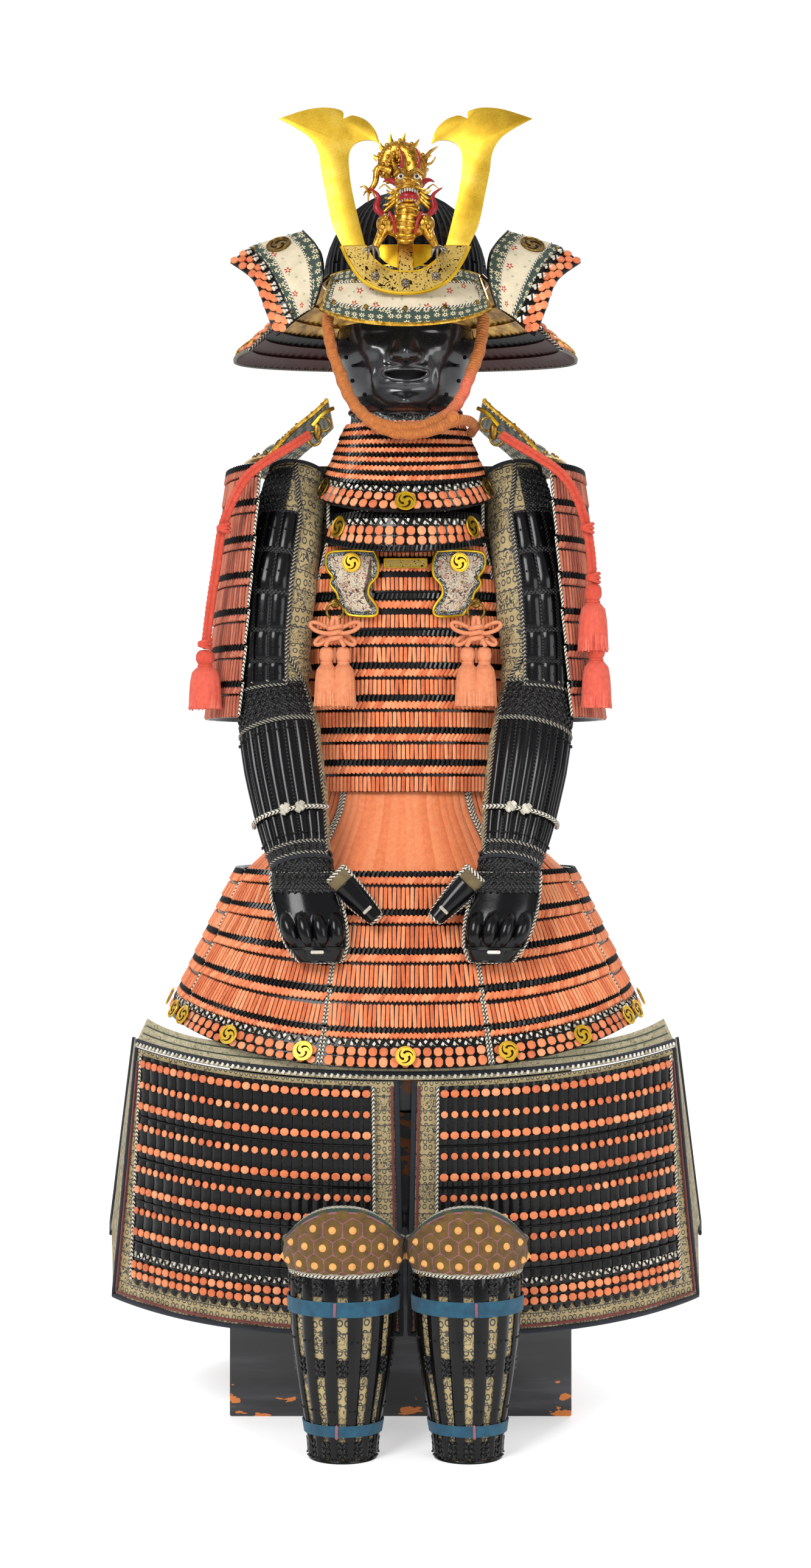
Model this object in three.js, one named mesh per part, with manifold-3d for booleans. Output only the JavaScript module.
// A samurai armour set up on its own lacquered chest: helmet with a horned crest, half mask and throat guard,
// laced cuirass with seven tassets, shoulder guards, armoured sleeves, thigh guards and shin guards.
// Millimetres, +Z up. The armour faces -Y, and left and right are the wearer's, so left is +X.
// Angles round the body are in degrees from the front, growing towards the wearer's left.
import * as THREE from "three";
import { mergeVertices } from "three/addons/utils/BufferGeometryUtils.js";
import Module from "manifold-3d";

const wasm = await Module();
wasm.setup();

const group = new THREE.Group();
const FRAME_SHIFT_Y = 88.4; // moves the body axis back, so that the origin is under the middle of the whole set

// ---------------------------------------------------------------- materials
const finish = (color, roughness, metalness) => new THREE.MeshStandardMaterial({ color, roughness, metalness });
const LACING = finish(0xd9663f, 0.85, 0);
const BLACK_LACQUER = finish(0x14141a, 0.3, 0.1);
const IRON = finish(0x1d1c1e, 0.35, 0.6);
const GILT = finish(0xd2a431, 0.35, 0.9);
const GOLD_LACQUER = finish(0x9a7433, 0.45, 0.3);
const BROCADE = finish(0xb39a68, 0.9, 0);
const DEERSKIN = finish(0xc9bfa6, 0.85, 0);
const QUILT = finish(0x6a4a22, 0.95, 0);
const CORD = finish(0xc8502c, 0.8, 0);
const CHIN_CORD = finish(0xb8652c, 0.85, 0);
const CHEST_WOOD = finish(0x17171a, 0.4, 0);
const PINE = finish(0x8a6a42, 0.8, 0);

// ---------------------------------------------------------------- helpers
const V = (x, y, z) => new THREE.Vector3(x, y, z);
const rad = THREE.MathUtils.degToRad;
const mix = (a, b, t) => a + (b - a) * t;
const steps = (from, to, count) => Array.from({ length: count + 1 }, (_, i) => mix(from, to, i / count));

// A row of a table at share t of its length, each named column on a straight line between its neighbours.
function rowAt(table, t) {
  const place = THREE.MathUtils.clamp(t, 0, 1) * (table.length - 1);
  const i = Math.min(Math.floor(place), table.length - 2);
  const row = {};
  for (const key of Object.keys(table[0])) row[key] = mix(table[i][key], table[i + 1][key], place - i);
  return row;
}

// A point of a rounded body section: half width w, front and back depths, at an angle from the front.
// power 1 is an ellipse, and a smaller one is squarer.
function ringPoint(angle, { w, front, back, z, y = 0 }, power = 1) {
  const s = Math.sin(rad(angle));
  const c = Math.cos(rad(angle));
  const depth = c > 0 ? front : back;
  return V(Math.sign(s) * w * Math.abs(s) ** power, y - Math.sign(c) * depth * Math.abs(c) ** power, z);
}

// A closed wall under the surface at(u, v). relief lifts its outer face, as the lower edge of a lame stands proud.
function wall(at, { across, down, thickness, relief = () => 0, closed = false }) {
  const e = 1e-3;
  const outer = [];
  const inner = [];
  for (const v of down)
    for (const u of across) {
      const right = at(u + e, v).sub(at(u - e, v));
      const below = at(u, v + e).sub(at(u, v - e));
      const normal = below.cross(right).normalize();
      outer.push(at(u, v).addScaledVector(normal, relief(u, v)));
      inner.push(at(u, v).addScaledVector(normal, -thickness));
    }
  const n = across.length;
  const m = down.length;
  const points = [...outer, ...inner];
  const faces = [];
  const quad = (a, b, c, d) => faces.push(a, b, c, a, c, d);
  const spans = closed ? n : n - 1;
  const back = n * m;
  for (let j = 0; j < m - 1; j++)
    for (let i = 0; i < spans; i++) {
      const a = j * n + i;
      const b = j * n + ((i + 1) % n);
      quad(a, a + n, b + n, b);
      quad(back + a, back + b, back + b + n, back + a + n);
    }
  for (let i = 0; i < spans; i++) {
    const k = (i + 1) % n;
    const last = (m - 1) * n;
    quad(i, k, back + k, back + i);
    quad(last + i, back + last + i, back + last + k, last + k);
  }
  if (!closed)
    for (let j = 0; j < m - 1; j++) {
      const a = j * n;
      const b = a + n - 1;
      quad(a, back + a, back + a + n, a + n);
      quad(b, b + n, back + b + n, back + b);
    }
  const geometry = new THREE.BufferGeometry().setFromPoints(points);
  geometry.setIndex(faces);
  return facingOut(geometry);
}

function facingOut(geometry) {
  const p = geometry.getAttribute("position");
  const index = geometry.index.array;
  const [a, b, c] = [V(0, 0, 0), V(0, 0, 0), V(0, 0, 0)];
  let volume = 0;
  for (let i = 0; i < index.length; i += 3) {
    a.fromBufferAttribute(p, index[i]);
    b.fromBufferAttribute(p, index[i + 1]);
    c.fromBufferAttribute(p, index[i + 2]);
    volume += a.dot(b.cross(c));
  }
  if (volume < 0) for (let i = 0; i < index.length; i += 3) [index[i + 1], index[i + 2]] = [index[i + 2], index[i + 1]];
  return geometry;
}

// Rows and relief of a laced plate between two rows: each lame slopes out by `proud`, and the next starts under it.
function lames(count, proud, first = 0, last = 1) {
  const lip = 0.03 / count;
  const down = [];
  for (let i = 0; i < count; i++) {
    down.push(i > 0 ? i / count + lip : 0);
    down.push(i < count - 1 ? (i + 1) / count - lip : 1);
  }
  const almostOne = 1 - 1e-6;
  const relief = (u, v) => {
    const share = THREE.MathUtils.clamp((v - first) / (last - first), 0, almostOne);
    return proud * ((share * count) % 1);
  };
  return { down: down.map((share) => mix(first, last, share)), relief };
}

function solidOf(geometry) {
  const bare = new THREE.BufferGeometry().setAttribute("position", geometry.getAttribute("position"));
  bare.setIndex(geometry.index);
  const merged = mergeVertices(bare, 1e-3);
  return new wasm.Manifold(
    new wasm.Mesh({
      numProp: 3,
      vertProperties: merged.getAttribute("position").array,
      triVerts: new Uint32Array(merged.index.array),
    }),
  );
}

function geometryOf(solid) {
  const mesh = solid.getMesh();
  const geometry = new THREE.BufferGeometry();
  geometry.setAttribute("position", new THREE.BufferAttribute(new Float32Array(mesh.vertProperties), 3));
  geometry.setIndex(new THREE.BufferAttribute(mesh.triVerts, 1));
  return geometry;
}

const join = (...parts) => geometryOf(parts.map(solidOf).reduce((a, b) => a.add(b)));
const cut = (whole, ...tools) => geometryOf(tools.map(solidOf).reduce((a, b) => a.subtract(b), solidOf(whole)));

function mirrored(geometry) {
  const copy = geometry.clone();
  if (!copy.index) copy.setIndex([...Array(copy.getAttribute("position").count).keys()]);
  copy.deleteAttribute("normal");
  copy.deleteAttribute("uv");
  copy.scale(-1, 1, 1);
  const index = copy.index.array;
  for (let i = 0; i < index.length; i += 3) [index[i + 1], index[i + 2]] = [index[i + 2], index[i + 1]];
  return copy;
}

function add(name, geometry, material) {
  const mesh = new THREE.Mesh(geometry, material);
  mesh.name = name;
  mesh.position.y = FRAME_SHIFT_Y;
  group.add(mesh);
}

// A piece of the wearer's left side, and its mirror image on the right.
function addPair(name, geometry, material) {
  add(name + "_left", geometry, material);
  add(name + "_right", mirrored(geometry), material);
}

const box = (w, d, h, x, y, z) => new THREE.BoxGeometry(w, d, h).translate(x, y, z + h / 2);
const rod = (r, h, x, y, z, sides = 12) =>
  new THREE.CylinderGeometry(r, r, h, sides).rotateX(Math.PI / 2).translate(x, y, z + h / 2);

// A round cord through a list of points.
function cord(points, diameter, sides, pieces) {
  const section = new THREE.Shape();
  for (let i = 0; i < sides; i++) {
    const a = (i / sides) * 2 * Math.PI;
    const [x, y] = [(Math.cos(a) * diameter) / 2, (Math.sin(a) * diameter) / 2];
    if (i) section.lineTo(x, y);
    else section.moveTo(x, y);
  }
  section.closePath();
  const path = new THREE.CatmullRomCurve3(points.map(([x, y, z]) => V(x, y, z)));
  return new THREE.ExtrudeGeometry(section, { steps: pieces, extrudePath: path, bevelEnabled: false, curveSegments: 1 });
}

// A tassel: a bound neck over a skirt of threads, oval from front to back.
function tassel(x, y, top, height, halfWidth, flat = 0.7, sides = 12) {
  const profile = [
    [0, top],
    [0.45 * halfWidth, top - 0.03 * height],
    [0.5 * halfWidth, top - 0.12 * height],
    [0.8 * halfWidth, top - 0.3 * height],
    [halfWidth, top - height],
    [0, top - height],
  ].reverse();
  const lathe = new THREE.LatheGeometry(profile.map(([r, z]) => new THREE.Vector2(r, z)), sides);
  return lathe.rotateX(Math.PI / 2).scale(1, flat, 1).translate(x, y, 0);
}

// A flat plate from an outline of [x, z] points, standing in the X-Z plane with its back at y = 0.
function plate(outline, thickness) {
  const shape = new THREE.Shape(outline.map(([x, z]) => new THREE.Vector2(x, z)));
  return new THREE.ExtrudeGeometry(shape, { depth: thickness, bevelEnabled: false }).rotateX(Math.PI / 2);
}

// ---------------------------------------------------------------- helmet
const BOWL = { w: 106, depth: 123, rim: 1440, height: 118, wall: 3 };
const BOWL_ROWS = 5;
const BOWL_SIDES = 24;

function bowl() {
  const arc = (radius, height) =>
    steps(90, 0, BOWL_ROWS).map((a) => new THREE.Vector2(radius * Math.cos(rad(a)), BOWL.rim + height * Math.sin(rad(a))));
  const outer = arc(BOWL.w, BOWL.height);
  const inner = arc(BOWL.w - BOWL.wall, BOWL.height - BOWL.wall).reverse();
  for (const end of [outer[0], inner[inner.length - 1]]) end.x = 0;
  const lathe = new THREE.LatheGeometry([...outer, ...inner].reverse(), BOWL_SIDES);
  return lathe.rotateX(Math.PI / 2).scale(1, BOWL.depth / BOWL.w, 1);
}
add("helmet_bowl", bowl(), IRON);

// The peak runs from the bowl's rim down to a long lip over the brow, lowest at its middle.
const PEAK = { halfAngle: 60, rimW: 109, rimDepth: 126.5, lipW: 124, lipY: -70, lipDepth: 120, lipZ: 1415, lipDip: 60 };
function peakPoint(u, v) {
  const angle = rad(mix(-PEAK.halfAngle, PEAK.halfAngle, u));
  const [s, c] = [Math.sin(angle), Math.cos(angle)];
  const rim = V(PEAK.rimW * s, -PEAK.rimDepth * c, BOWL.rim);
  const lip = V(PEAK.lipW * s, PEAK.lipY - PEAK.lipDepth * c, PEAK.lipZ - PEAK.lipDip * c);
  return rim.lerp(lip, v);
}
add("helmet_peak", wall(peakPoint, { across: steps(0, 1, 12), down: [0, 0.5, 1], thickness: 3 }), DEERSKIN);

// The neck guard is a wide cone of five lames, open at the face.
const NECK_TOP = { w: 110, front: 127, back: 127, z: BOWL.rim };
const NECK_HEM = { w: 222, front: 206, back: 234, z: 1336 };
const NECK_END_ANGLE = 62;
const NECK_HEM_BACK_LIFT = 26;
function neckPoint(u, v) {
  const angle = mix(NECK_END_ANGLE, 360 - NECK_END_ANGLE, u);
  const section = rowAt([NECK_TOP, NECK_HEM], v);
  section.z += v * NECK_HEM_BACK_LIFT * Math.max(0, -Math.cos(rad(angle)));
  return ringPoint(angle, section, 0.95);
}
const upperNeck = lames(2, 2.5, 0, 0.4);
const lowerNeck = lames(3, 2.5, 0.406, 1);
add("neck_guard_upper", wall(neckPoint, { across: steps(0, 1, 20), thickness: 2.5, ...upperNeck }), GOLD_LACQUER);
add("neck_guard_lower", wall(neckPoint, { across: steps(0, 1, 20), thickness: 2.5, ...lowerNeck }), GOLD_LACQUER);

// The ends of the top lames turn back beside the peak. Rows run from the fold, low and forward, to the free end.
const TURNBACK = {
  inner: [
    { x: 117, y: -98, z: 1393 },
    { x: 106, y: -104, z: 1430 },
    { x: 111, y: -84, z: 1468 },
    { x: 133, y: -42, z: 1501 },
  ],
  middle: [
    { x: 139, y: -112, z: 1376 },
    { x: 155, y: -104, z: 1411 },
    { x: 175, y: -78, z: 1451 },
    { x: 198, y: -38, z: 1483 },
  ],
  outer: [
    { x: 164, y: -116, z: 1354 },
    { x: 178, y: -104, z: 1390 },
    { x: 194, y: -80, z: 1431 },
    { x: 226, y: -46, z: 1461 },
  ],
};
function turnbackPoint(u, v) {
  const columns = ["inner", "middle", "outer"].map((key) => {
    const { x, y, z } = rowAt(TURNBACK[key], 1 - v);
    return V(x, y, z);
  });
  return u < 0.5 ? columns[0].lerp(columns[1], 2 * u) : columns[1].lerp(columns[2], 2 * u - 1);
}
addPair("turnback", wall(turnbackPoint, { across: steps(0, 1, 4), down: steps(0, 1, 3), thickness: 4 }), DEERSKIN);

// The crest holder follows the brow, and two flat horns stand in it.
const CREST_FOOT = { y: -166, z: 1397, lean: 0.2 };
const HOLDER_OUTER = [
  [80, 1458],
  [72, 1440],
  [56, 1416],
  [36, 1403],
  [18, 1398],
  [0, 1397],
];
const HOLDER_INNER = [
  [0, 1425],
  [14, 1426],
  [25, 1430],
  [39, 1441],
  [50, 1459],
];
const CREST_THICKNESS = 2.5;
const bothSides = (half) => [...half, ...half.slice(0, -1).reverse().map(([x, z]) => [-x, z])];
function leanBack(geometry) {
  const p = geometry.getAttribute("position");
  for (let i = 0; i < p.count; i++) p.setY(i, p.getY(i) + CREST_FOOT.y + (p.getZ(i) - CREST_FOOT.z) * CREST_FOOT.lean);
  return geometry;
}
const holderOutline = [...bothSides(HOLDER_OUTER), ...bothSides([...HOLDER_INNER].reverse()).reverse()];
const holderTongue = box(18, 2, 64, 0, 0, 1410).translate(0, 1 - CREST_THICKNESS, 0);
add("crest_holder", leanBack(join(plate(holderOutline, CREST_THICKNESS), holderTongue)), GILT);

const HORN = [
  [50.5, 1459.5],
  [60.5, 1500],
  [67, 1530],
  [70.5, 1554],
  [71.5, 1578],
  [66, 1591],
  [56, 1597],
  [43, 1598],
  [32.5, 1593],
  [38, 1611],
  [50, 1625],
  [64, 1632],
  [71, 1632],
  [73, 1626],
  [79, 1627],
  [80, 1637],
  [99, 1642],
  [126, 1639],
  [161, 1627],
  [136, 1613],
  [119, 1599],
  [109.5, 1580],
  [106.5, 1558],
  [100, 1525],
  [92, 1487],
  [79.8, 1459],
];
addPair("crest_horn", leanBack(plate(HORN, CREST_THICKNESS)), GILT);

// A small gilt dragon crouches over the holder. Each limb is a round tube through its points, in the wearer's frame.
const DRAGON_LIMBS = [
  { d: 34, points: [[0, -180, 1464], [0, -184, 1490], [2, -178, 1512], [3, -170, 1530]] }, // neck and belly
  { d: 32, points: [[2, -166, 1534], [-2, -158, 1556], [-4, -152, 1588]] }, // coiled back and tail
  { d: 14, points: [[-2, -160, 1560], [-30, -158, 1578], [-46, -160, 1552]] }, // horn, right
  { d: 14, points: [[2, -160, 1560], [26, -158, 1582], [33, -162, 1560]] }, // horn, left
];
const DRAGON_LEG = { thigh: { d: 16, to: 30 }, shank: { d: 12, to: 42 }, knee: 16 };
const DRAGON_HEAD = { skull: 24, snout: 15 };
function dragon() {
  const ball = (r, x, y, z, tall = 1) => new THREE.SphereGeometry(r, 8, 5).scale(1, 1, tall).translate(x, y, z);
  const limb = (points, d) => cord(points, d, 6, 3);
  const { thigh, shank, knee } = DRAGON_LEG;
  const legs = [-1, 1].flatMap((side) => [
    limb([[0, -178, 1470], [side * 16, -180, 1478], [side * thigh.to, -180, 1482]], thigh.d),
    ball(knee, side * thigh.to, -180, 1482),
    limb([[side * thigh.to, -182, 1480], [side * 36, -184, 1462], [side * shank.to, -186, 1446]], shank.d),
  ]);
  return join(
    ...DRAGON_LIMBS.map(({ points, d }) => limb(points, d)),
    ball(DRAGON_HEAD.skull, 4, -178, 1526, 0.85),
    ball(DRAGON_HEAD.snout, 4, -196, 1518, 0.75),
    ...legs,
  );
}
add("crest_dragon", dragon(), GILT);

// ---------------------------------------------------------------- mask, chin cord and throat
const MASK_ROWS = [
  { z: 1372, w: 86, depth: 72, nose: 10 },
  { z: 1358, w: 88, depth: 76, nose: 13 },
  { z: 1344, w: 88, depth: 80, nose: 19 },
  { z: 1330, w: 86, depth: 82, nose: 25 },
  { z: 1319, w: 84, depth: 82, nose: 22 },
  { z: 1311, w: 82, depth: 84, nose: 4 },
  { z: 1298, w: 78, depth: 84, nose: 0 },
  { z: 1286, w: 72, depth: 84, nose: 1 },
  { z: 1272, w: 62, depth: 88, nose: 4 },
  { z: 1260, w: 52, depth: 86, nose: 4 },
  { z: 1254, w: 46, depth: 78, nose: 0 },
];
const MASK_SIDE_Y = -48;
const NOSE_HALF_WIDTH = 15;
function maskPoint(u, v) {
  const row = rowAt(MASK_ROWS, v);
  const angle = rad(mix(-88, 88, u));
  const x = row.w * Math.sin(angle);
  const bridge = row.nose * Math.exp(-((x / NOSE_HALF_WIDTH) ** 2));
  return V(x, MASK_SIDE_Y - row.depth * Math.cos(angle) - bridge, row.z);
}
const MASK_ACROSS = [0, 0.12, 0.26, 0.38, 0.45, 0.5, 0.55, 0.62, 0.74, 0.88, 1];
const MOUTH = { w: 62, h: 16, z: 1293 };
const maskShell = wall(maskPoint, { across: MASK_ACROSS, down: steps(0, 1, MASK_ROWS.length - 1), thickness: 3 });
add("face_mask", cut(maskShell, box(MOUTH.w, 80, MOUTH.h, 0, -140, MOUTH.z)), IRON);

const CHIN_CORD_D = 16;
const CHIN_CORD_ROUTE = [
  [-82, -62, 1428],
  [-92, -84, 1405],
  [-99, -104, 1374],
  [-94, -112, 1338],
  [-79, -122, 1294],
  [-61, -134, 1258],
  [-28, -150, 1235],
  [0, -153, 1231],
  [28, -150, 1235],
  [61, -134, 1258],
  [79, -122, 1294],
  [94, -112, 1338],
  [99, -104, 1374],
  [92, -84, 1405],
  [82, -62, 1428],
];
add("chin_cord", cord(CHIN_CORD_ROUTE, CHIN_CORD_D, 8, 18), CHIN_CORD);

// The throat guard is a bib of five lames hung under the mask, over a shorter collar of one.
const THROAT_Y = -60;
const THROAT_TOP = { w: 75, front: 58, back: 58, z: 1243, y: THROAT_Y };
const THROAT_HEM = { w: 112, front: 118, back: 118, z: 1122, y: THROAT_Y };
const COLLAR_TOP = { w: 96, front: 104, back: 104, z: 1126, y: THROAT_Y };
const COLLAR_HEM = { w: 105, front: 115, back: 115, z: 1073, y: THROAT_Y };
const bib = (top, hem, halfAngle, sideLift) => (u, v) => {
  const angle = mix(-halfAngle, halfAngle, u);
  const section = rowAt([top, hem], v);
  section.z += v * sideLift * (1 - Math.cos(rad(angle)));
  return ringPoint(angle, section);
};
const throatPoint = bib(THROAT_TOP, THROAT_HEM, 80, 34);
const collarPoint = bib(COLLAR_TOP, COLLAR_HEM, 74, 30);
add("throat_guard", wall(throatPoint, { across: steps(0, 1, 10), thickness: 3, ...lames(5, 2.5) }), LACING);
add("collar_guard", wall(collarPoint, { across: steps(0, 1, 12), down: [0, 0.5, 1], thickness: 3 }), LACING);

// ---------------------------------------------------------------- cuirass
const LAME_PITCH = 41;
const BODY_LAMES = 5;
const CUIRASS_HEM = 774;
const CUIRASS_TOP = CUIRASS_HEM + BODY_LAMES * LAME_PITCH;
const CUIRASS = [
  { z: CUIRASS_TOP, w: 141, front: 118, back: 107 },
  { z: mix(CUIRASS_TOP, CUIRASS_HEM, 0.5), w: 133, front: 113, back: 103 },
  { z: CUIRASS_HEM, w: 124, front: 104, back: 96 },
];
const cuirassPoint = (from, to) => (u, v) => ringPoint(mix(from, to, u), rowAt(CUIRASS, v), 0.9);
const bodyLames = lames(BODY_LAMES, 3);
const HINGE_GAP = 0.4;
const lowerHalf = (from, to) => wall(cuirassPoint(from, to), { across: steps(0, 1, 10), thickness: 3, ...bodyLames });
add("cuirass_front", lowerHalf(HINGE_GAP - 90, 90 - HINGE_GAP), LACING);
add("cuirass_back", lowerHalf(90 + HINGE_GAP, 270 - HINGE_GAP), LACING);

// Above the body lames each half rises between the armholes, narrowing to a plain top plate.
const BREAST = [
  { z: CUIRASS_TOP + 0.6, w: 141, front: 118, back: 107, reach: 60 },
  { z: CUIRASS_TOP + 2 * LAME_PITCH, w: 138, front: 117, back: 106, reach: 49 },
  { z: 1112, w: 128, front: 108, back: 98, reach: 46 },
];
const BACK_TOP_LIFT = 36;
function upperPoint(middle, lift) {
  return (u, v) => {
    const row = rowAt(BREAST, 1 - v);
    row.z += lift * (1 - v);
    return ringPoint(middle + mix(-row.reach, row.reach, u), row, 0.9);
  };
}
const TOP_PLATE_SHARE = 0.42;
const upperLames = lames(2, 3, TOP_PLATE_SHARE, 1);
const upperRows = [0, TOP_PLATE_SHARE / 2, ...upperLames.down];
const upperHalf = (middle, lift) =>
  wall(upperPoint(middle, lift), { across: steps(0, 1, 10), down: upperRows, thickness: 3, relief: upperLames.relief });
add("breast_plate", upperHalf(0, 0), LACING);
add("back_plate", upperHalf(180, BACK_TOP_LIFT), LACING);

// Shoulder straps arch from the back plate to the breast plate.
const STRAP_ROUTE = [
  { y: -80, z: 1113 },
  { y: -72, z: 1152 },
  { y: -46, z: 1184 },
  { y: 0, z: 1198 },
  { y: 46, z: 1194 },
  { y: 80, z: 1174 },
  { y: 88, z: 1152.5 },
];
const STRAP = { near: 54, far: 99, thickness: 5 };
function strapPoint(u, v) {
  const { y, z } = rowAt(STRAP_ROUTE, 1 - v);
  return V(mix(STRAP.near, STRAP.far, u), y, z);
}
addPair("shoulder_strap", wall(strapPoint, { across: [0, 0.5, 1], down: steps(0, 1, 9), thickness: STRAP.thickness }), BLACK_LACQUER);

// Leaf-shaped plates hang from the straps over the armpits.
const PENDANT = [
  [-37, 1078],
  [38, 1080],
  [37, 1056],
  [30, 1030],
  [12, 1012],
  [6, 998],
  [-33, 998],
  [-35, 1009],
  [-27, 1020],
  [-35, 1040],
  [-30, 1058],
];
const PENDANT_AT = { x: 67, y: -117, turn: 17, thickness: 4 };
const pendant = plate(PENDANT, PENDANT_AT.thickness)
  .rotateZ(rad(PENDANT_AT.turn))
  .translate(PENDANT_AT.x, PENDANT_AT.y, 0);
addPair("pendant_plate", pendant, DEERSKIN);

// A ring, a flat bow knot and a tassel on each breast.
const BREAST_TASSEL = { x: 89, y: -138, knot: 974, top: 957, height: 75, halfWidth: 28 };
function breastTassel() {
  const { x, y, knot, top, height, halfWidth } = BREAST_TASSEL;
  const ring = new THREE.TorusGeometry(11, 1.8, 5, 10).rotateX(Math.PI / 2).translate(x, y, knot + 28);
  const core = new THREE.SphereGeometry(10, 8, 5).scale(1, 0.6, 2.1).translate(x, y, knot);
  const loop = (side) => new THREE.SphereGeometry(17, 8, 5).scale(1, 0.28, 0.6).translate(x + side * 20, y, knot);
  return join(ring, core, loop(-1), loop(1), tassel(x, y, top, height, halfWidth, 0.55));
}
addPair("breast_tassel", breastTassel(), CORD);

// The waist lacing flares from inside the cuirass hem to inside the tassets.
const WAIST = [
  { z: 785, w: 116, front: 96, back: 88 },
  { z: 772, w: 118, front: 98, back: 90 },
  { z: 745, w: 132, front: 109, back: 100 },
  { z: 710, w: 164, front: 131, back: 121 },
  { z: 668, w: 209, front: 163, back: 148 },
];
const waistPoint = (u, v) => ringPoint(360 * u, rowAt(WAIST, v), mix(0.9, 0.8, v));
add("waist_lacing", wall(waistPoint, { across: steps(0, 1, 24).slice(0, -1), down: steps(0, 1, WAIST.length - 1), thickness: 3, closed: true }), LACING);

// Seven tassets of five lames spread over the chest.
const TASSET_TOP = { w: 218, front: 171, back: 156, z: 674 };
const TASSET_HEM = { w: 305, front: 264, back: 240, z: 438 };
const TASSET_SIDE_LIFT = 52;
const TASSETS = [
  { name: "front", from: -14.8, to: 14.8 },
  { name: "front_left", from: 15.6, to: 65.6 },
  { name: "side_left", from: 66.4, to: 116 },
  { name: "back_left", from: 116.8, to: 179.6 },
  { name: "back_right", from: 180.4, to: 243.2 },
  { name: "side_right", from: 244, to: 293.6 },
  { name: "front_right", from: 294.4, to: 344.4 },
];
const tassetPoint = (from, to) => (u, v) => {
  const angle = mix(from, to, u);
  const section = rowAt([TASSET_TOP, TASSET_HEM], v);
  section.z += v * TASSET_SIDE_LIFT * Math.sin(rad(angle)) ** 2;
  return ringPoint(angle, section, 0.8);
};
for (const { name, from, to } of TASSETS)
  add("tasset_" + name, wall(tassetPoint(from, to), { across: steps(0, 1, 6), thickness: 3, ...lames(5, 4) }), LACING);

// ---------------------------------------------------------------- shoulder guards
const SODE = { x: 156, w: 75, depth: 140, from: -70, to: 55, top: 1190, height: 322, flare: 27 };
function sodePoint(u, v) {
  const angle = rad(mix(SODE.from, SODE.to, u));
  return V(SODE.x + SODE.w * Math.cos(angle) + SODE.flare * v, SODE.depth * Math.sin(angle), SODE.top - SODE.height * v);
}
addPair("shoulder_guard", wall(sodePoint, { across: steps(0, 1, 6), thickness: 3, ...lames(7, 3.5) }), LACING);

// A cap plate slopes from the neck out over the head of each shoulder guard.
const CAP_ROUTE = [
  { x: 100, z: 1270, spread: 0 },
  { x: 116, z: 1256, spread: 0.06 },
  { x: 152, z: 1232, spread: 0.4 },
  { x: 196, z: 1198, spread: 1 },
];
const CAP_HEM_BULGE = 14;
const CAP_HALF_LENGTH = 118;
function capPoint(u, v) {
  const { x, z, spread } = rowAt(CAP_ROUTE, v);
  const y = mix(CAP_HALF_LENGTH, -CAP_HALF_LENGTH, u);
  const rounding = SODE.w * (1 - Math.sqrt(1 - (y / SODE.depth) ** 2));
  return V(x + spread * (CAP_HEM_BULGE - rounding), y, z);
}
addPair("shoulder_cap", wall(capPoint, { across: steps(1, 0, 6), down: [0, 1 / 3, 2 / 3, 1], thickness: 4 }), DEERSKIN);

// A doubled silk cord runs from each shoulder, round the front of the guard, to its tassels.
const SHOULDER_CORD_D = 12;
const CORD_FROM_SHOULDER = [
  [122, -124, 1226],
  [140, -140, 1212],
  [171, -150, 1192],
  [198, -152, 1171],
  [216, -148, 1143],
];
const LEFT_CORD_ROUTE = [...CORD_FROM_SHOULDER, [228, -140, 1109], [234, -136, 1075], [236, -135, 1046]];
const RIGHT_CORD_ROUTE = [...CORD_FROM_SHOULDER, [231, -138, 1107], [239, -130, 1060], [247, -124, 1010], [253, -122, 962]];
add("shoulder_cord_left", cord(LEFT_CORD_ROUTE, SHOULDER_CORD_D, 8, 14), CORD);
add("shoulder_cord_right", mirrored(cord(RIGHT_CORD_ROUTE, SHOULDER_CORD_D, 8, 18)), CORD);
const leftTassels = join(tassel(237, -135, 1040, 88, 21, 0.8, 10), tassel(241, -137, 966, 86, 21, 0.8, 10));
add("shoulder_tassel_left", leftTassels, CORD);
add("shoulder_tassel_right", mirrored(tassel(254, -122, 957, 78, 23, 0.8, 10)), CORD);

// ---------------------------------------------------------------- armoured sleeves
// Sections of the sleeve from the shoulder to the wrist, each an oval square to the arm.
const SLEEVE = [
  { x: 139, y: -28, z: 1188, w: 36, depth: 36 },
  { x: 150, y: -58, z: 1120, w: 44, depth: 38 },
  { x: 163, y: -85, z: 1036, w: 49, depth: 36 },
  { x: 168, y: -92, z: 960, w: 47, depth: 35 },
  { x: 168, y: -97, z: 900, w: 47, depth: 35 },
  { x: 157, y: -120, z: 850, w: 49, depth: 35 },
  { x: 149, y: -140, z: 800, w: 48, depth: 34 },
  { x: 139, y: -160, z: 745, w: 44, depth: 30 },
  { x: 131, y: -180, z: 700, w: 38, depth: 26 },
  { x: 128, y: -191, z: 682, w: 36, depth: 23 },
];
const SLEEVE_SPANS = SLEEVE.length - 1;
function sleevePoint(angle, v) {
  const here = rowAt(SLEEVE, v);
  const above = rowAt(SLEEVE, v - 0.06);
  const below = rowAt(SLEEVE, v + 0.06);
  const along = V(below.x - above.x, below.y - above.y, below.z - above.z).normalize();
  const side = V(1, 0, 0).addScaledVector(along, -along.x).normalize();
  const forward = along.clone().cross(side);
  const a = rad(angle);
  return V(here.x, here.y, here.z)
    .addScaledVector(side, here.w * Math.sin(a))
    .addScaledVector(forward, here.depth * Math.cos(a));
}
const sleeveTube = (u, v) => sleevePoint(360 * u, v);
addPair("sleeve", wall(sleeveTube, { across: steps(0, 1, 12).slice(0, -1), down: steps(0, 1, SLEEVE_SPANS), thickness: 2, closed: true }), BROCADE);

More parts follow.
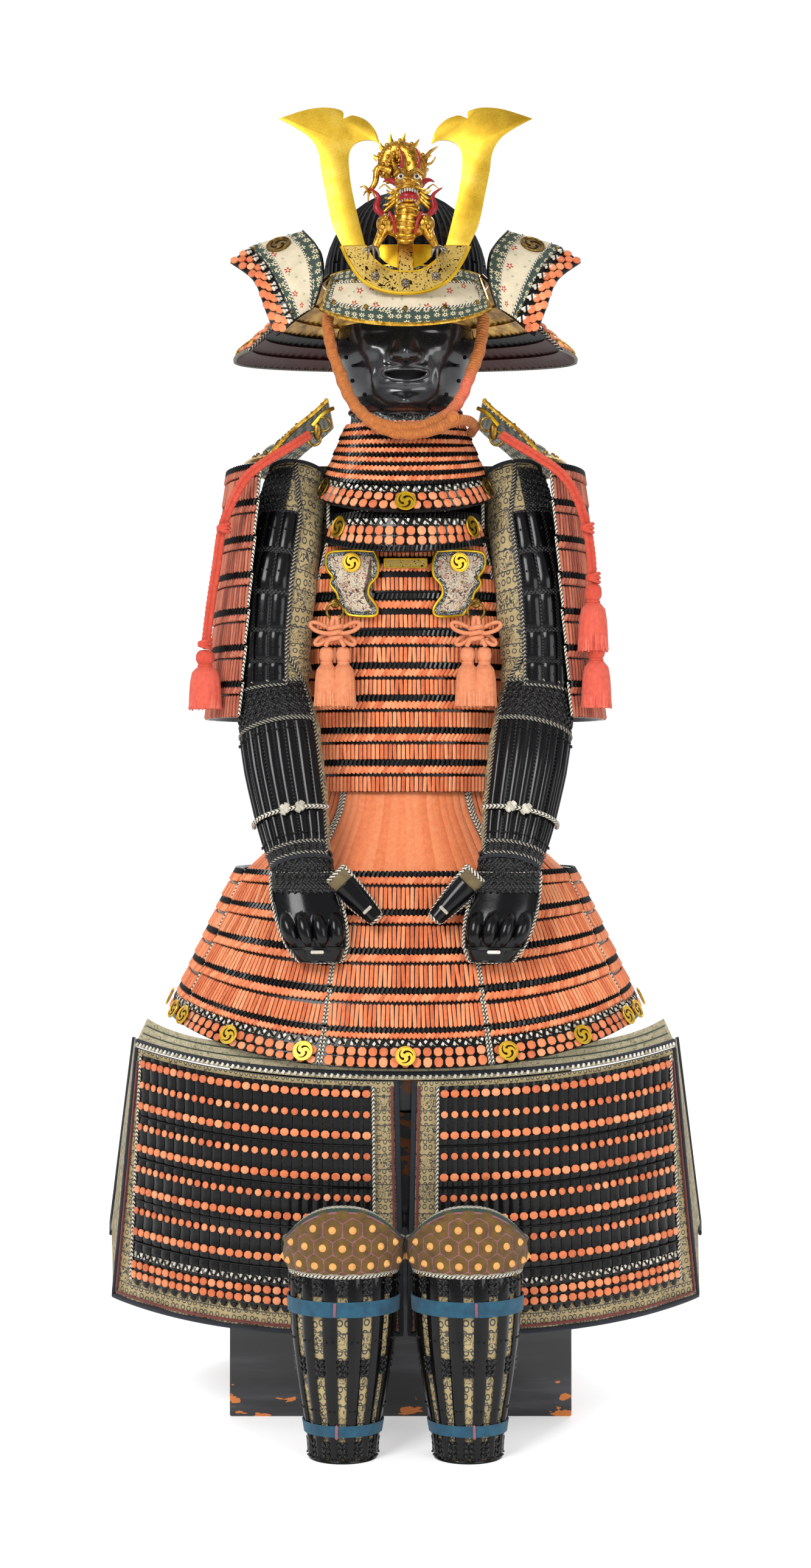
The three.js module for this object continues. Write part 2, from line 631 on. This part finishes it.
// Plates lie on the sleeve: points of the same surface, moved out.
const onSleeve = (fromAngle, toAngle, fromV, toV, lift) => (u, v) => {
  const angle = mix(fromAngle, toAngle, u);
  const place = mix(fromV, toV, v);
  const e = 1e-3;
  const right = sleevePoint(angle + 1, place).sub(sleevePoint(angle - 1, place));
  const below = sleevePoint(angle, place + e).sub(sleevePoint(angle, place - e));
  return sleevePoint(angle, place).addScaledVector(below.cross(right).normalize(), lift);
};
const SPLINTS = 9;
const splintRows = (count, proud) => ({
  across: Array.from({ length: 2 * count + 1 }, (_, i) => i / (2 * count)),
  relief: (u) => (Math.round(u * 2 * count) % 2 ? proud : 0),
});
const ARM_PLATE_LIFT = 5;
const forearm = wall(onSleeve(-54, 96, 5 / SLEEVE_SPANS, 8 / SLEEVE_SPANS, ARM_PLATE_LIFT), {
  down: steps(0, 1, 3),
  thickness: 3,
  ...splintRows(SPLINTS, 3),
});
addPair("forearm_guard", forearm, BLACK_LACQUER);
const upperArm = wall(onSleeve(-20, 130, 1 / SLEEVE_SPANS, 4 / SLEEVE_SPANS, ARM_PLATE_LIFT), {
  across: steps(0, 1, 6),
  down: steps(0, 1, 3),
  thickness: 2.5,
});
addPair("upper_arm_guard", upperArm, BLACK_LACQUER);

// The hand guard covers the back of the hand and the knuckles, with a plate for the thumb.
const HAND = [
  { z: 674, x: 128, y: -212, w: 40 },
  { z: 645, x: 123, y: -222, w: 43 },
  { z: 612, x: 115, y: -234, w: 43 },
  { z: 585, x: 109, y: -240, w: 38 },
  { z: 566, x: 105, y: -238, w: 28 },
];
const HAND_CROWN = 15;
function handPoint(u, v) {
  const row = rowAt(HAND, v);
  const across = mix(-1, 1, u);
  return V(row.x + row.w * across, row.y + HAND_CROWN * across * across, row.z);
}
const THUMB = { from: [88, -216, 672], to: [36, -226, 618], w: 17, crown: 8 };
function thumbPoint(u, v) {
  const [start, end] = [V(...THUMB.from), V(...THUMB.to)];
  const across = mix(-1, 1, u);
  const along = end.clone().sub(start).normalize();
  const side = along.clone().cross(V(0, -1, 0)).normalize();
  const width = THUMB.w * (1 - 0.45 * v * v);
  return start.lerp(end, v).addScaledVector(side, -width * across).add(V(0, THUMB.crown * across * across, 0));
}
const handShell = wall(handPoint, { across: steps(0, 1, 6), down: steps(0, 1, 4), thickness: 5 });
const thumbShell = wall(thumbPoint, { across: steps(0, 1, 4), down: steps(0, 1, 3), thickness: 5 });
addPair("hand_guard", join(handShell, thumbShell), BLACK_LACQUER);

// ---------------------------------------------------------------- thigh guards
// Each apron panel hangs from the waist band in front of the chest, wraps back round the thigh, and ends in a short flap.
const THIGH_TOP = { inner: 11, outer: 346, z: 422, outerLift: 26, y: -250 };
const THIGH_HEM = { inner: 5, outer: 376, z: 118, outerLift: 14, y: -272 };
const THIGH_OUTER_Y = -96;
const THIGH_CURVE = 3;
const FLAP = { width: 0.2, hem: 205, y: 30, out: 14 };
function thighPoint(u, v) {
  const front = THREE.MathUtils.clamp(u, -0.05, 1);
  const flap = Math.max(0, u - 1) / FLAP.width;
  const lift = front ** 2;
  const top = THIGH_TOP.z + THIGH_TOP.outerLift * lift;
  const hem = mix(THIGH_HEM.z + THIGH_HEM.outerLift * lift, FLAP.hem, Math.min(1, flap * 4));
  const outer = mix(THIGH_TOP.outer, THIGH_HEM.outer, v);
  const x = mix(mix(THIGH_TOP.inner, THIGH_HEM.inner, v), outer, front) + FLAP.out * flap;
  const curve = Math.abs(front) ** THIGH_CURVE;
  const y = mix(mix(THIGH_TOP.y, THIGH_HEM.y, v), THIGH_OUTER_Y, curve) + (FLAP.y - THIGH_OUTER_Y) * flap;
  return V(x, y, mix(top, hem, v));
}
const THIGH_ACROSS = [...steps(0, 1, 10), 1 + FLAP.width / 4, 1 + FLAP.width];
addPair("thigh_cloth", wall(thighPoint, { across: THIGH_ACROSS, down: steps(0, 1, 5), thickness: 3 }), BROCADE);

const SCALES = { inner: 0.085, outerTop: 0.955, outerHem: 0.915, top: 0.02, hem: 0.905, lames: 5, lift: 5 };
function scalesPoint(u, v) {
  const e = 1e-3;
  const [a, b] = [mix(SCALES.inner, mix(SCALES.outerTop, SCALES.outerHem, v), u), mix(SCALES.top, SCALES.hem, v)];
  const right = thighPoint(a + e, b).sub(thighPoint(a - e, b));
  const below = thighPoint(a, b + e).sub(thighPoint(a, b - e));
  return thighPoint(a, b).addScaledVector(below.cross(right).normalize(), SCALES.lift);
}
addPair("thigh_scales", wall(scalesPoint, { across: steps(0, 1, 8), thickness: 3, ...lames(SCALES.lames, 2.5) }), BLACK_LACQUER);

// The leather waist band of the apron lies over the chest, under the tassets.
const BAND = { top: 462, topOuterLift: 22, outer: 330, y: -240 };
function bandPoint(u, v) {
  const side = mix(-1, 1, u);
  const share = Math.abs(side);
  const top = BAND.top + BAND.topOuterLift * share ** 6;
  const hem = THIGH_TOP.z + 1.6 + THIGH_TOP.outerLift * share ** 2;
  const outer = mix(BAND.outer, THIGH_TOP.outer, v);
  const y = mix(mix(BAND.y, THIGH_TOP.y, v), THIGH_OUTER_Y, share ** THIGH_CURVE);
  return V(side * outer, y, mix(top, hem, v));
}
add("thigh_band", wall(bandPoint, { across: steps(0, 1, 20), down: [0, 0.5, 1], thickness: 3 }), DEERSKIN);

// ---------------------------------------------------------------- shin guards
const SHIN_X = 73;
const SHIN = [
  { z: 212, w: 62, front: 58, back: 58, y: -346 },
  { z: 150, w: 59, front: 56, back: 56, y: -354 },
  { z: 90, w: 51, front: 50, back: 50, y: -364 },
  { z: 30, w: 40, front: 40, back: 40, y: -376 },
  { z: 0.5, w: 37, front: 37, back: 37, y: -381 },
];
const SHIN_REACH = 128;
const shinPoint = (u, v) => ringPoint(mix(-SHIN_REACH, SHIN_REACH, u), rowAt(SHIN, v)).add(V(SHIN_X, 0, 0));
const SHIN_SPLINTS = 9;
const shin = wall(shinPoint, { down: steps(0, 1, 4), thickness: 4, ...splintRows(SHIN_SPLINTS, 2.5) });
addPair("shin_guard", shin, BLACK_LACQUER);

// A quilted knee piece stands over each shin guard, with an arched top.
const KNEE = [
  { z: 292, w: 69, front: 62, back: 60, y: -337 },
  { z: 252, w: 69, front: 64, back: 62, y: -341 },
  { z: 213, w: 63, front: 59, back: 59, y: -346 },
];
const KNEE_REACH = 96;
const KNEE_SIDE_DROP = 46;
const KNEE_ARCH = 2.4; // 2 is a round arch, and more is a flatter one
function kneePoint(u, v) {
  const angle = mix(-KNEE_REACH, KNEE_REACH, u);
  const section = rowAt(KNEE, v);
  section.z -= (1 - v) * KNEE_SIDE_DROP * Math.abs(Math.sin(rad(angle))) ** KNEE_ARCH;
  return ringPoint(angle, section).add(V(SHIN_X, 0, 0));
}
addPair("knee_guard", wall(kneePoint, { across: steps(0, 1, 12), down: steps(0, 1, 2), thickness: 4 }), QUILT);

// ---------------------------------------------------------------- chest and stand
const CHEST = { w: 424, depth: 370, x: -6, y: -10, height: 378, wall: 14 };
const LID = { height: 70, wall: 14 };
function hollowBox(w, depth, height, y, z, thick, openTop) {
  const outer = box(w, depth, height, CHEST.x, y, z);
  const inner = box(w - 2 * thick, depth - 2 * thick, height, CHEST.x, y, z + (openTop ? thick : -thick));
  return cut(outer, inner);
}
add("chest_body", hollowBox(CHEST.w, CHEST.depth, CHEST.height, CHEST.y, 0, CHEST.wall, true), CHEST_WOOD);
add("chest_lid", hollowBox(CHEST.w, CHEST.depth, LID.height, CHEST.y, CHEST.height + 0.4, LID.wall, false), CHEST_WOOD);

// A plain wooden stand on the lid carries the helmet and the cuirass.
const STAND_FOOT = CHEST.height + LID.height + 0.8;
const STAND = { x: 0, y: 12, post: 34, top: 1490, arm: 200, armZ: 1158, armH: 28, head: 20, headTop: 1542 };
const stand = join(
  box(240, 60, 22, STAND.x, STAND.y, STAND_FOOT),
  box(60, 240, 22, STAND.x, STAND.y, STAND_FOOT),
  box(STAND.post, STAND.post, STAND.top - STAND_FOOT, STAND.x, STAND.y, STAND_FOOT),
  box(STAND.arm, 28, STAND.armH, STAND.x, STAND.y, STAND.armZ),
  rod(STAND.head, STAND.headTop - STAND.top + 10, STAND.x, STAND.y, STAND.top - 10),
);
add("stand", stand, PINE);

export default group;
